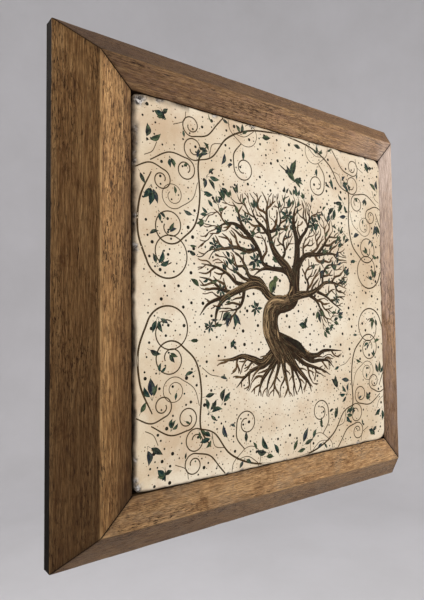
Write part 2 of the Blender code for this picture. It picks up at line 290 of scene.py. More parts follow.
def plaster():
    f = Finish("pale_wall")
    f.colour = f.ramp(f.noise(2.2, 5, 0.6), (0.3, (202, 200, 201)), (0.8, (212, 210, 212)))
    f.bump(f.noise(180, 3, 0.6), 0.0006, 0.25)
    return f.surface(0.9)


# ---- meshes


def band(rings, around, ends=True):
    """Faces between rings of vertices that follow one another, and over the first and last ring."""
    faces = []
    for start in range(0, (rings - 1) * around, around):
        for j in range(around):
            k = (j + 1) % around
            faces.append((start + j, start + k, start + around + k, start + around + j))
    if ends:
        faces.append(tuple(range(around))[::-1])
        faces.append(tuple(range((rings - 1) * around, rings * around)))
    return faces


def new_mesh(name, points, faces):
    """A smooth mesh whose faces point outwards."""
    mesh = bpy.data.meshes.new(name)
    mesh.from_pydata(np.reshape(points, (-1, 3)).tolist(), [], faces)
    bm = bmesh.new()
    bm.from_mesh(mesh)
    bmesh.ops.recalc_face_normals(bm, faces=bm.faces)
    bm.to_mesh(mesh)
    bm.free()
    mesh.shade_smooth()
    return mesh


def add_object(name, data):
    thing = bpy.data.objects.new(name, data)
    bpy.context.scene.collection.objects.link(thing)
    return thing


def add_piece(name, mesh, material, slot, place=(0, 0, 0), turn=0.0, node=None):
    """A piece at its place, turned about Y. It stands for the CAD node, if one is given."""
    mesh.materials.append(material)
    piece = add_object(name, mesh)
    piece.location = place
    piece.rotation_euler = (0, turn, 0)
    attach(piece, "root")
    if node:
        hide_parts(node)
    return piece


def add_attribute(mesh, name, values):
    attribute = mesh.attributes.new(name, "FLOAT", "POINT")
    attribute.data.foreach_set("value", np.asarray(values, np.float32).ravel())


def cells(x, z, seed):
    """Smooth noise from -1 to 1 over x and z, with one cell a unit."""
    x, z = np.broadcast_arrays(np.asarray(x, float), np.asarray(z, float))
    col, row = np.floor(x).astype(np.int64), np.floor(z).astype(np.int64)
    u, v = x - col, z - row
    u, v = u * u * (3 - 2 * u), v * v * (3 - 2 * v)

    def corner(i, j):
        mixed = (i * 374761393 + j * 668265263 + seed * 1442695041) & 0xFFFFFFFF
        mixed = ((mixed ^ (mixed >> 13)) * 1274126177) & 0xFFFFFFFF
        return ((mixed ^ (mixed >> 16)) & 0xFFFF) / 32767.5 - 1

    low = corner(col, row) * (1 - u) + corner(col + 1, row) * u
    high = corner(col, row + 1) * (1 - u) + corner(col + 1, row + 1) * u
    return low * (1 - v) + high * v


def near(distance, reach):
    """1 at no distance, falling to 0 at reach."""
    return np.clip(1 - np.abs(distance) / reach, 0, 1)


# ---- rails

# Each rail's turn about Y, its stain (on the right rail pale and pinkish, partly a painted sheen), the
# stain's share all over, the wood's lightness, how far it is darkened, partly stain and partly painted
# shade (at its left and right end, what the chamfer has more at each, and a painted shadow on the front
# beside the tile), how far its ridge is rubbed, and how dark its outer side is, partly dirt and partly
# painted shade.
# Below 0, the front gets a pale painted sheen instead of darkening.
RAILS = {
    "top": (0, (142, 102, 74), 0.12, 1.18, (0.58, -0.15, 0.12, 0.45, 0.0), 0.2, 0.6),
    "right": (90, (166, 136, 118), 0.5, 1.2, (-0.65, 0.44, 0.9, 0.0, 0.0), 0.5, 0.6),
    "bottom": (180, (176, 145, 110), 0.46, 1.46, (0.04, 0.36, 0.32, 0.28, 0.04), 0.5, 0.6),
    "left": (270, (164, 124, 78), 0.0, 1.33, (0.58, 0.02, 0.26, 0.26, 0.4), 0.85, 0.97),
}


def rounded_section():
    """The rail's section as (inset, height) in metres, closed, finely divided where it shows."""
    corners = [  # place and radius
        ((0, 0), 0.0002), ((0, SIDE_HEIGHT), 0.0012),
        ((CHAMFER_RUN, RAIL_DEPTH), 0.0022), ((POCKET_INSET, RAIL_DEPTH), 0.0009),
        ((POCKET_INSET, POCKET_FLOOR), 0.0002), ((LEDGE_INSET, POCKET_FLOOR), 0.0004),
        ((LEDGE_INSET, REBATE_DEPTH), 0.0002), ((REBATE_INSET, REBATE_DEPTH), 0.0002),
        ((REBATE_INSET, 0), 0.0003),
    ]
    points = []
    for i, (point, radius) in enumerate(corners):
        here = Vector(point)
        back = (Vector(corners[i - 1][0]) - here).normalized()
        ahead = (Vector(corners[(i + 1) % len(corners)][0]) - here).normalized()
        half_angle = back.angle(ahead) / 2
        centre = here + (back + ahead).normalized() * radius / math.sin(half_angle)
        tangents = (here + way * radius / math.tan(half_angle) for way in (back, ahead))
        start, end = ((tangent - centre).normalized() for tangent in tangents)
        arc = 6 if radius > 0.0008 else 2
        points += [centre + start.slerp(end, step / arc) * radius for step in range(arc + 1)]
    fine = []
    for here, following in zip(points, points[1:] + points[:1]):
        shows = max(here.y, following.y) > POCKET_FLOOR + 0.003 or max(here.x, following.x) < 0.001
        pieces = max(1, round((following - here).length / (0.0011 if shows else 0.006)))
        fine += [here.lerp(following, step / pieces) for step in range(pieces)]
    return np.array([tuple(p) for p in fine])


def rail_stations():
    """Places along a rail from -1 to 1, closer together at its ends."""
    near_end = [0.0, 0.0014, 0.0035, 0.007, 0.012]
    inner = np.linspace(near_end[-1], 1, 150)[1:]
    half = 1 - np.concatenate([near_end, inner])
    return np.concatenate([-half, half[:-1][::-1]])[:, None]


def rail_mesh(seed, stain_and_shade, ridge_rub, side_dirt_and_shade):
    """A rail along X at the frame's top, about the frame's centre, with wear in its surface."""
    section = rounded_section()
    ahead = np.roll(section, -1, 0) - np.roll(section, 1, 0)
    normal = np.stack([-ahead[:, 1], ahead[:, 0]], 1)
    normal /= np.hypot(*normal.T)[:, None]
    inset, height = section.T
    stations = rail_stations()
    reach = HALF - inset - MITRE_GAP
    x = stations * reach
    from_end = reach - np.abs(x)
    run = np.cumsum(np.hypot(*np.diff(section, axis=0, append=section[:1]).T))
    shows = np.clip((height - 0.0005) / 0.002, 0, 1) * (inset < POCKET_INSET + 0.0005)
    ridge = np.hypot(inset - CHAMFER_RUN, height - RAIL_DEPTH)
    inner = np.hypot(inset - POCKET_INSET, height - RAIL_DEPTH)
    outer = np.hypot(inset, height - SIDE_HEIGHT)

    def uneven(along, across, number):
        """Noise with so many cells a metre along the rail and across it."""
        return cells(x * along, run * across, seed + number)

    def spots(base, *settings):
        """Patches of that noise, from 0 to 1. The higher base is, the more they cover."""
        return np.clip(base + uneven(*settings), 0, 1)

    # Depth of wear in millimetres
    wear = 0.10 + 0.09 * uneven(16, 40, 0) + 0.035 * uneven(60, 420, 1)
    wear += 0.30 * near(ridge, 0.004) * spots(0, 45, 0, 2)
    wear += 0.35 * near(inner, 0.002) * spots(0.3, 110, 0, 3)
    wear += 0.22 * near(outer, 0.002) * spots(0, 80, 0, 4)
    wear += 0.45 * spots(-0.72, 120, 160, 5)
    wear += 0.30 * near(from_end, 0.0008)
    worn_in, worn_height = np.moveaxis(section - (wear * shows * MM)[..., None] * normal, -1, 0)
    points = np.stack([x, -worn_height, HALF - worn_in], -1)
    mesh = new_mesh("rail", points, band(len(stations), len(section)))
    mesh.set_sharp_from_angle(angle=math.radians(50))

    rubbed = ridge_rub * near(ridge, 0.0013) * (0.5 + 0.5 * uneven(50, 0, 6))
    rubbed += 0.35 * near(outer, 0.001) * spots(0.2, 90, 0, 7)
    rubbed += 0.5 * near(inner, 0.0009) * spots(0, 130, 0, 8)
    # Darker at the mitre ends (dark joints), and painted shade along the inner edge and down the pocket
    # walls; the outer side is darkened too, partly dirt and partly painted shade
    grime_and_shade = near(from_end, 0.0008) + 0.25 * near(from_end, 0.005) + 0.25 * near(inner, 0.003)
    grime_and_shade += 0.55 * ((inset > POCKET_INSET - 0.0004) & (height < RAIL_DEPTH - 0.0006))
    grime_and_shade += side_dirt_and_shade * ((height < SIDE_HEIGHT - 0.0004) & (inset < 0.001))
    # Darkening of the rail's front: patchy stain, with painted shade towards one end and on the chamfer,
    # and a painted shadow beside the tile that is patchier near the ends
    left, right, chamfer_left, chamfer_right, shade_beside_tile = stain_and_shade
    share = (stations + 1) / 2
    patchy = left + (right - left) * share + 0.12 * uneven(12, 22, 9)
    patchy += (chamfer_left + (chamfer_right - chamfer_left) * share) * (inset < CHAMFER_RUN)
    corner_patches = 1.2 * near(from_end, 0.035) * spots(0.5, 140, 140, 11)
    patchy += shade_beside_tile * near(inset - POCKET_INSET, 0.017) * (1 + corner_patches)
    # Where that darkening falls below 0, the flat front gets a pale painted sheen instead, strongest and
    # patchiest near the ends
    sheen_amount = -patchy * (1 + 2.5 * near(from_end, 0.06) * spots(0.6, 70, 90, 10))
    add_attribute(mesh, "stain_and_shade", np.clip(patchy, 0, 0.9))
    add_attribute(mesh, "painted_sheen", np.clip(sheen_amount, 0, 0.7) * (inset > CHAMFER_RUN))
    add_attribute(mesh, "worn", np.clip(rubbed, 0, 1) * (shows > 0))
    add_attribute(mesh, "grime_and_shade", np.clip(grime_and_shade, 0, 0.97))
    return mesh


def grow_v_slot(bm, name):
    """A slot a little wider all round than one V nail, whose two legs meet at its outer corner."""
    low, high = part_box(name)
    leg, plate = high.x - low.x + CLEARANCE, 0.0008 + CLEARANCE
    outline = [(CLEARANCE, CLEARANCE), (-leg, CLEARANCE), (-leg, -plate), (-plate, -plate)]
    outline += [(z, x) for x, z in reversed(outline[1:-1])]
    corner_x, right = (high.x, 1) if "right" in name else (low.x, -1)
    corner_z, up = (high.z, 1) if "top" in name else (low.z, -1)
    placed = [(corner_x + right * x, corner_z + up * z) for x, z in outline]
    front = [bm.verts.new((x, low.y - 2 * CLEARANCE, z)) for x, z in placed]
    rear = [bm.verts.new((x, MM, z)) for x, z in placed]
    bm.faces.new(front)
    bm.faces.new(rear[::-1])
    for i in range(len(placed)):
        bm.faces.new((front[i], front[i - 1], rear[i - 1], rear[i]))


def cut_fixings(rail, side):
    """Cuts the V nails' slots and the screws' holes into a rail's rear, round the CAD's own fixings."""
    bm = bmesh.new()
    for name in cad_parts:
        if name.startswith("v_nail"):
            grow_v_slot(bm, name)
        elif name.startswith("board_screw_" + side) or (name.startswith("hanger_screw") and side == "top"):
            low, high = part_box(name)
            length = HOLE_DEPTH + MM
            place = Matrix.Translation(((low.x + high.x) / 2, MM - length / 2, (low.z + high.z) / 2))
            bmesh.ops.create_cone(
                bm, cap_ends=True, segments=20, radius1=HOLE_RADIUS, radius2=HOLE_RADIUS,
                depth=length, matrix=place @ Matrix.Rotation(math.pi / 2, 4, "X"),
            )
    bmesh.ops.recalc_face_normals(bm, faces=bm.faces)
    mesh = bpy.data.meshes.new("fixings")
    bm.to_mesh(mesh)
    bm.free()
    cutter = add_object("fixings", mesh)
    cut = rail.modifiers.new("fixings", "BOOLEAN")
    cut.operation = "DIFFERENCE"
    cut.solver = "EXACT"
    cut.object = cutter
    bpy.context.view_layer.update()
    finished = bpy.data.meshes.new_from_object(rail.evaluated_get(bpy.context.evaluated_depsgraph_get()))
    rail.modifiers.clear()
    rail.data = finished
    bpy.data.objects.remove(cutter)


def add_rails():
    for number, (side, (degrees, stain, fade, lightness, *wear)) in enumerate(RAILS.items()):
        shift = (3.1 * number + 0.7, 1.7 * number, 0.9 * number)
        finish = wood("stained_wood_" + side, shift, stain, fade, lightness)
        mesh = rail_mesh(20 * number + 3, *wear)
        turn = math.radians(degrees)
        looks = ("wooden_rail_" + side, mesh, finish, "stained_wood")
        rail = add_piece(*looks, (0, 0, CENTRE_Z), turn, "rail_" + side)
        cut_fixings(rail, side)


# ---- tile


def chips():
    """Chipped places on the tile's edge: x, z, reach and depth, in millimetres."""
    rng = np.random.default_rng(5)
    found = [(-147, 147, 7.5, 1.6), (-148, -147, 5.5, 0.8), (-149, 120, 3.0, 0.8), (-149, 96, 2.4, 0.7)]
    for _ in range(26):
        along, edge = rng.uniform(-140, 140), 149.5
        x, z = ((along, edge), (along, -edge), (edge, along), (-edge, along))[rng.integers(4)]
        found.append((x, z, rng.uniform(1.6, 4.2), rng.uniform(0.4, 1.1)))
    return found


CHIPS = chips()


def wobble(x, z):
    """How far the worn outline lies inside the square one, in millimetres."""
    return np.clip(0.42 + 0.45 * cells(x / 8, z / 8, 1) + 0.6 * cells(x / 25, z / 25, 2), 0.05, 1.8)


def corner_radius(x):
    """The radius of the tile's corners on x's side."""
    return np.where(x < 0, LEFT_RADIUS, RIGHT_RADIUS)


def inside_edge(x, z):
    """The distance in from the tile's worn outline, in millimetres."""
    radius = corner_radius(x)
    over_x, over_z = np.abs(x) - TILE_HALF + radius, np.abs(z) - TILE_HALF + radius
    past_corner = np.hypot(np.maximum(over_x, 0), np.maximum(over_z, 0))
    return radius - past_corner - np.minimum(np.maximum(over_x, over_z), 0) - wobble(x, z)


def chipped(x, z):
    """How deep chips go, in millimetres."""
    depth = 0 * x
    for cx, cz, reach, deep in CHIPS:
        hit = np.clip(1.25 - np.hypot(x - cx, z - cz) / reach + 0.35 * cells(x / 1.3, z / 1.3, 9), 0, 1)
        depth = np.maximum(depth, deep * hit**1.5)
    return depth


def lay(x, z, height):
    """Points at a height over the tile's worn face, all in millimetres, as world points in metres."""
    rolling = 0.17 + 0.10 * cells(x / 60, z / 60, 3) + 0.05 * cells(x / 24, z / 24, 4)
    radius = 2.5 + 0.8 * cells(x / 15, z / 15, 6)
    short = np.clip(radius - inside_edge(x, z), 0, radius)
    depth = rolling + radius - np.sqrt(radius**2 - short**2) + chipped(x, z)
    return np.stack([x * MM, TILE_LOW.y + (depth - height) * MM, z * MM + CENTRE_Z], -1)


def tile_grid():
    """The tile's face as a grid of points on a square with worn, rounded corners, in millimetres."""
    edge = TILE_HALF - np.array([0, 0.25, 0.55, 0.95, 1.45, 2.1, 2.9, 3.9, 5.1, 6.5])
    lines = np.concatenate([-edge, np.linspace(-edge[-1], edge[-1], 226)[1:-1], edge[::-1]])
    u, v = np.meshgrid(lines, lines, indexing="ij")
    level = np.maximum(np.abs(u), np.abs(v))
    radius = np.maximum(corner_radius(u) * np.clip((level - TILE_HALF + 30) / 30, 0, 1), 1e-6)
    cu, cv = np.clip(u, radius - level, level - radius), np.clip(v, radius - level, level - radius)
    du, dv = u - cu, v - cv
    length = np.hypot(du, dv)
    scale = np.where(length > 0, np.maximum(np.abs(du), np.abs(dv)) / np.maximum(length, 1e-9), 1)
    x, z = cu + du * scale, cv + dv * scale
    fade = np.clip(1 - (TILE_HALF - level) / 10, 0, 1) ** 2
    shrink = 1 - wobble(x, z) * fade / TILE_HALF
    return x * shrink, z * shrink


def add_tile():
    x, z = tile_grid()
    index = np.arange(x.size).reshape(x.shape)
    corners = (index[:-1, :-1], index[1:, :-1], index[1:, 1:], index[:-1, 1:])
    faces = np.stack([c.ravel() for c in corners], 1).tolist()
    rim = np.concatenate([index[:-1, 0], index[-1, :-1], index[:0:-1, -1], index[0, :0:-1]])
    points = (lay(x, z, 0) - (0, 0, CENTRE_Z)).reshape(-1, 3)
    rim_x, _, rim_z = points[rim].T
    for depth in (4.0, 6.5, 9.5, TILE_THICKNESS):  # rings down the side
        rough = 1 - 0.0012 * (1 + cells(rim_x * 200, rim_z * 200 + depth, 12))
        ring = len(points) + np.arange(len(rim))
        faces += np.stack([np.roll(rim, 1), rim, ring, np.roll(ring, 1)], 1).tolist()
        level = np.full(len(rim), TILE_LOW.y + depth * MM)
        points = np.vstack([points, np.stack([rim_x * rough, level, rim_z * rough], 1)])
        rim = ring
    faces += [(a, b, len(points)) for a, b in zip(np.roll(rim, 1).tolist(), rim.tolist())]
    points = np.vstack([points, (0, TILE_HIGH.y, 0)])
    mesh = new_mesh("clay_tile", points, faces)
    from_edge = inside_edge(x, z)
    # The rim and sides are darkened, partly dirt and partly painted shade in the gap to the rails; it
    # reaches further in along the upper left edge
    reach = 2.2 + 3.6 * np.clip(z / 110, 0, 1) * (x < -100)
    tanned = (np.abs(x) + np.abs(z) - 165) / 100 + 0.15 * cells(x / 40, z / 40, 14)
    for name, values, behind in (
        ("tanned", tanned.clip(0, 0.5) * (from_edge / 20).clip(0.2, 1), 0),
        ("chipped", np.clip(chipped(x, z) / 0.5, 0, 1), 0),
        ("side", np.clip(0.95 - from_edge / reach + 0.35 * cells(x / 5, z / 5, 8), 0, 0.95), 0.9),
    ):
        add_attribute(mesh, name, np.append(values, np.full(len(points) - x.size, behind)))
    add_piece("tumbled_tile", mesh, clay(), "clay", (0, 0, CENTRE_Z), node="clay_tile")


# ---- brushwork


class Paint:
    """One piece of thin raised brushwork. Paths are in millimetres from the picture's middle."""

    def __init__(self):
        self.parts = []
        self.faces = []
        self.count = 0

    def extend(self, points, heights, colour, faces):
        tones = np.tile(srgb(*colour), (len(points), 1))
        self.parts.append(np.column_stack([points + PICTURE_OFFSET, heights, tones]))
        self.faces += [[i + self.count for i in face] for face in faces]
        self.count += len(points)

    def stroke(self, path, widths, colour, lift):
        """A ribbon along path. It is cut where path runs off the tile."""
        path = np.array(path, float)
        widths = np.broadcast_to(widths, (len(path),))
        on_tile = inside_edge(*(path + PICTURE_OFFSET).T) > EDGE_KEEP
        bounds = np.flatnonzero(np.diff(np.concatenate([[0], on_tile.astype(int), [0]])))
        for start, end in zip(bounds[::2], bounds[1::2]):
            if end - start > 1:
                self.ribbon(path[start:end], widths[start:end], colour, lift)

    def ribbon(self, path, widths, colour, lift):
        """Rings across the path: sunk edges, and a row of raised points every few millimetres."""
        inner = 1 if widths.max() < 1.25 else int(2 + widths.max() / 3)
        places = [0.5, *(np.linspace(0.42, -0.42, inner) if inner > 1 else [0]), -0.5]
        points = np.stack([offset(path, place * widths) for place in places], 1)
        heights = [-SUNK] + [PAINT_HEIGHT + lift * LAYER_HEIGHT] * inner + [-SUNK]
        points = points.reshape(-1, 2)
        self.extend(points, np.tile(heights, len(path)), colour, band(len(path), len(places)))

    def shape(self, outline, colour, lift):
        """A flat spot with sunk edges. It is left out where it runs off the tile."""
        if inside_edge(*(outline + PICTURE_OFFSET).T).min() < EDGE_KEEP:
            return
        n = len(outline)
        middle = outline.mean(0)
        points = np.vstack([outline, middle + (outline - middle) * 0.86, [middle, middle]])
        top = PAINT_HEIGHT + lift * LAYER_HEIGHT
        faces = []
        for i in range(n):
            j = (i + 1) % n
            faces += [(i, j, n + j, n + i), (n + i, n + j, 2 * n), (j, i, 2 * n + 1)]
        self.extend(points, np.array([-SUNK] * n + [top] * (n + 1) + [-SUNK]), colour, faces)

    def build(self, name, finish):
        parts = np.vstack(self.parts)
        mesh = new_mesh(name, lay(*parts[:, :3].T), self.faces)
        mesh.shade_flat()
        colours = mesh.color_attributes.new("paint", "FLOAT_COLOR", "POINT")
        colours.data.foreach_set("color", parts[:, 3:].astype(np.float32).ravel())
        add_piece(name, mesh, finish, "clay")


# ---- picture

# Display colours
INK = (64, 48, 27)
UMBER = (44, 30, 17)
TAN = (170, 142, 104)
TEAL = (22, 43, 42)
GREEN = (42, 53, 38)
MOSS = (74, 82, 52)
NAVY = (34, 38, 50)
SLATE = (27, 32, 33)
DOT = (30, 25, 18)
RUST = (128, 92, 60)
LEAF_TONES = (TEAL, TEAL, GREEN, GREEN, NAVY, SLATE, SLATE)
THINNEST = 1.1  # a vine's stroke

# Scrolled vines of the top left quarter: smooth through these points, then a curl of this radius
# (over zero turns left), over this many turns, and the stroke's width. Millimetres from the middle.
VINES = [
    (((0, 150), (-38, 145), (-64, 133), (-80, 114), (-96, 108)), -9.5, 1.3, 1.6),
    (((-66, 152), (-75, 142), (-85, 131), (-99, 127)), -8.5, 1.35, 1.22),
    (((-84, 124), (-94, 107), (-93, 78), (-98, 55), (-112, 41)), -14.0, 1.45, 1.6),
    (((-138, 92), (-148, 70), (-149.5, 44), (-141.5, 22)), 19.5, 1.3, 1.6),
    (((-139, 101), (-122, 110), (-105, 108)), -9.0, 1.4, 1.16),
    (((-153, 93), (-139, 99), (-126, 95)), -8.0, 1.3, 1.16),
    (((-95, 90), (-100, 76), (-113, 67)), -10.5, 1.5, 1.1),
    (((-63, 153), (-61, 141), (-50, 132)), 13.0, 0.75, 1.1),
    (((-49, 131), (-57, 121), (-57, 109)), 10.5, 1.3, 1.16),
    (((-34, 145), (-45, 138), (-57, 139)), 0, 0, 1.1),
    (((-70, 127), (-80, 124), (-83, 113)), 0, 0, 1.1),
    (((-106, 146), (-108, 138), (-118, 133)), 0, 0, 0.85),
    (((-133, 116), (-137, 108), (-144, 104)), 0, 0, 0.85),
    (((-92, 60), (-84, 66), (-76, 68)), 0, 0, 0.98),
]
# Sprays of leaves on them: place, heading, number of leaves, their spread and their length
SPRAYS = [
    ((-78, 140), 95, 2, 90, 12), ((-27, 141), 10, 1, 0, 11), ((-49, 139), 80, 3, 140, 9),
    ((-66, 122), 250, 1, 0, 12), ((-47, 128), 270, 1, 0, 10), ((-82, 117), 170, 3, 110, 11),
    ((-86, 97), 330, 4, 190, 12), ((-73, 92), 300, 2, 50, 14), ((-92, 84), 350, 1, 0, 12),
    ((-98, 62), 160, 1, 0, 11), ((-122, 107), 300, 3, 60, 9), ((-149, 92), 300, 1, 0, 10),
    ((-138, 82), 265, 3, 80, 14), ((-124, 46), 40, 2, 60, 10), ((-105, 38), 0, 1, 0, 8),
    ((-142, 43), 20, 1, 0, 10), ((-133, 19), 70, 3, 120, 12), ((-142, 115), 60, 2, 110, 14),
    ((-76, 68), 20, 1, 0, 9), ((-96, 108), 60, 2, 70, 10), ((-110, 100), 30, 1, 0, 7),
    ((-61, 145), 150, 1, 0, 8), ((-109, 132), 280, 1, 0, 7), ((-132, 63), 300, 2, 70, 9),
    ((-57, 112), 200, 1, 0, 7), ((-116, 76), 100, 1, 0, 7),
]


def turned(points, degrees, about=(0, 0)):
    """Points turned about zero, then moved to a place."""
    c, s = math.cos(math.radians(degrees)), math.sin(math.radians(degrees))
    return np.array(points) @ np.array([[c, s], [-s, c]]) + about


def heading_of(ahead):
    return math.degrees(math.atan2(ahead[1], ahead[0]))


def smooth(points, step=1.0):
    """An even run of points along a Catmull-Rom curve through points, which may carry widths."""
    p = np.array(points, float)
    p = np.vstack([2 * p[0] - p[1], p, 2 * p[-1] - p[-2]])
    t = np.linspace(0, 1, 24, endpoint=False)[:, None]
    runs = []
    for a, b, c, d in zip(p, p[1:], p[2:], p[3:]):
        square, cube = a - 2.5 * b + 2 * c - d / 2, 1.5 * (b - c) + (d - a) / 2
        runs.append(b + (c - a) / 2 * t + square * t**2 + cube * t**3)
    return resample(np.vstack(runs + [p[-2:-1]]), step)


def resample(dense, step):
    along = np.concatenate([[0], np.cumsum(np.hypot(*np.diff(dense[:, :2], axis=0).T))])
    even = np.linspace(0, along[-1], max(3, int(along[-1] / step) + 1))
    return np.stack([np.interp(even, along, column) for column in dense.T], 1)


def offset(path, amount):
    """path moved sideways by amount, to its left."""
    ahead = np.gradient(path, axis=0)
    ahead /= np.hypot(*ahead.T)[:, None] + 1e-9
    return path + np.stack([-ahead[:, 1], ahead[:, 0]], 1) * np.reshape(amount, (-1, 1))


def curl(path, radius, turns):
    """path, carried on into a spiral that tightens to a third of its radius."""
    if not turns:
        return path
    angle = np.linspace(0, turns * 2 * math.pi, int(turns * 48))[1:]
    r = abs(radius) * (1 - 0.66 * (angle / angle[-1]) ** 1.5)
    h = math.radians(heading_of(path[-1] - path[-2])) + math.copysign(1, radius) * angle
    moves = np.stack([np.cos(h), np.sin(h)], 1) * (r * np.diff(angle, prepend=0))[:, None]
    return resample(np.vstack([path, path[-1] + np.cumsum(moves, 0)]), 0.9)


def taper(count, width, start=0.6, end=0.35, rise=2.2):
    t = np.linspace(0, 1, count)
    return width * np.minimum(1, np.minimum(start + t * 4, end + (1 - t) * rise))


def disc(centre, radius, sides=10):
    a = np.linspace(0, 2 * np.pi, sides, endpoint=False)
    return np.array(centre) + radius * np.stack([np.cos(a), np.sin(a)], 1)


def leaf(paint, base, heading, length, tone, fatness=0.4, bend=0.12):
    """A pointed leaf from its base, with one half lighter."""
    t = np.linspace(0, 1, 11)
    half = fatness * length / 2 * np.sin(np.pi * t**0.85) ** 1.15
    spine = np.stack([t * length, bend * length * np.sin(np.pi * t)], 1)
    across = np.stack([0 * t, half], 1)
    rim = np.vstack([spine + across, (spine - across)[-2:0:-1]])
    paint.shape(turned(rim, heading, base), tone, 1)
    if length > 5:
        lit = 0.72 * math.copysign(1, bend) * across
        pale = np.vstack([(spine + lit)[1:-1], (spine + 0.12 * lit)[-2:0:-1]])
        lighter = [int(0.9 * c + more) for c, more in zip(tone, (32, 35, 22))]
        paint.shape(turned(pale, heading, base), lighter, 2)


def spray(paint, base, heading, count, spread, length, rng):
    """Stalked leaves fanned out from one point, the middle ones longest."""
    for i in range(count):
        f = (i + 0.5) / count - 0.5
        size = length * (1 - 0.5 * abs(f)) * rng.uniform(0.85, 1.1)
        turn = heading + spread * f
        foot = turned((length * 0.22, 0), turn, base)
        tone = LEAF_TONES[rng.integers(len(LEAF_TONES))]
        paint.stroke(smooth((base, foot), 0.5), 0.55, tone, 0)
        leaf(paint, foot, turn, size, tone, rng.uniform(0.33, 0.47), rng.uniform(-0.16, 0.16))


def paint_vines(paint, leaves, rng):
    """The vines of all four quarters. Returns every point on them."""
    lines = []
    for sx, sz in ((1, 1), (1, -1), (-1, 1), (-1, -1)):
        for points, radius, turns, width in VINES:
            path = curl(smooth(points), radius, turns) * (sx, sz)
            widths = taper(len(path), 1.1 * width, 0.6, 0.3, 1.1).clip(THINNEST)
            paint.stroke(path, widths, INK, 0)
            lines.append(path)
            if turns:
                leaves.shape(disc(path[-20:].mean(0), rng.uniform(0.8, 1.3)), DOT, 1)
        for place, heading, *fan in SPRAYS:
            mirrored = sz * (heading if sx > 0 else 180 - heading)
            spray(leaves, np.array(place) * (sx, sz), mirrored, *fan, rng)
    return np.vstack(lines)


# The tree from its trunk outwards: where each limb passes, and its width there
TRUNK = (
    (-1, -61, 7), (-3, -56, 15), (-7, -49, 19), (-12, -42, 18.5), (-16.5, -32, 20),
    (-17.5, -23, 19.5), (-15.5, -14, 20), (-8, -8.5, 18.5), (1, -7.5, 16.5), (9, -4, 16.5),
    (13, 3, 15), (13.5, 11, 13.5), (15, 20, 12.5), (17, 32, 9), (18, 45, 7.5), (17, 55, 6),
    (14, 65, 5), (14, 75, 3.4), (17, 86, 0.7),
)
LIMBS = [
    ((13, 12, 10), (4, 26, 10), (-6, 34, 8.5), (-13, 43, 6.5), (-17, 53, 5.5), (-19, 64, 4.2),
     (-20, 76, 3), (-17, 89, 0.7)),
    ((-17, 53, 4.2), (-25, 61, 3.6), (-33, 67, 2.4), (-39, 78, 0.7)),
    ((-18, 57, 3.8), (-9, 60, 3), (-3, 68, 2.2), (-6, 84, 0.7)),
    ((18, 46, 4.8), (24, 56, 4.2), (31, 64, 3.2), (35, 75, 2.2), (34, 86, 0.7)),
    ((17, 24, 6), (24, 35, 6), (32, 40, 5.2), (46, 41, 4.4), (58, 43, 3.4), (70, 43, 2.2),
     (82, 41, 0.7)),
    ((45, 41, 4), (53, 49, 3.6), (60, 57, 2.6), (68, 66, 0.7)),
    ((-3, 32, 3.6), (2, 40, 3), (0, 50, 2.3), (5, 60, 0.7)),
    ((6, -3, 10), (20, 1, 8.5), (34, 3, 6.2), (46, 8, 4.8), (56, 14, 3.8), (70, 14, 2.8), (88, 9, 0.7)),
    ((30, 3, 3.8), (32, 12, 3), (28, 20, 2.6), (33, 28, 1.8), (42, 31, 0.7)),
    ((52, 12, 3.4), (53, 22, 2.8), (60, 31, 2.2), (74, 33, 0.7)),
    ((32, 2, 4.2), (42, -3, 3.6), (48, -11, 2.4), (50, -21, 0.7)),
    ((44, 5, 3.6), (56, 1, 3), (66, -5, 2.2), (80, -13, 0.7)),
    ((10, 17, 6), (0, 23, 5.5), (-14, 24, 4.4), (-26, 23, 3), (-36, 17, 0.7)),
    ((-14, 24, 4.2), (-25, 28, 4), (-29, 38, 4.2), (-36, 47, 5), (-44, 54, 5), (-56, 60, 3.4),
     (-68, 59, 2), (-77, 54, 0.7)),
    ((-43, 53, 4.2), (-50, 62, 3.2), (-53, 71, 2.2), (-59, 79, 0.7)),
    ((-31, 41, 4.2), (-42, 38, 4.4), (-56, 40, 3.8), (-68, 38, 2.8), (-82, 36, 0.7)),
    ((-4, -7, 10), (-18, -1, 9), (-27, 7, 9), (-38, 9, 8.5), (-50, 5, 7), (-62, 0, 6), (-71, -6, 4.6),
     (-77, -15, 3), (-79, -29, 0.7)),
    ((-20, 3, 5), (-29, 13, 5), (-41, 16, 4.4), (-46, 25, 3.2), (-52, 33, 2.2), (-60, 37, 0.7)),
    ((-44, 8, 4.4), (-56, 10, 4), (-65, 17, 3.2), (-77, 22, 2.4), (-92, 24, 0.7)),
    ((-60, 1, 4), (-72, 4, 3.2), (-83, 11, 2.2), (-94, 13, 0.7)),
    ((-60, 0, 4.4), (-74, -4, 3.6), (-86, -9, 2.6), (-94, -18, 0.7)),
    ((-47, 6, 4.2), (-49, -5, 3.4), (-54, -12, 2.4), (-64, -14, 0.7)),
]
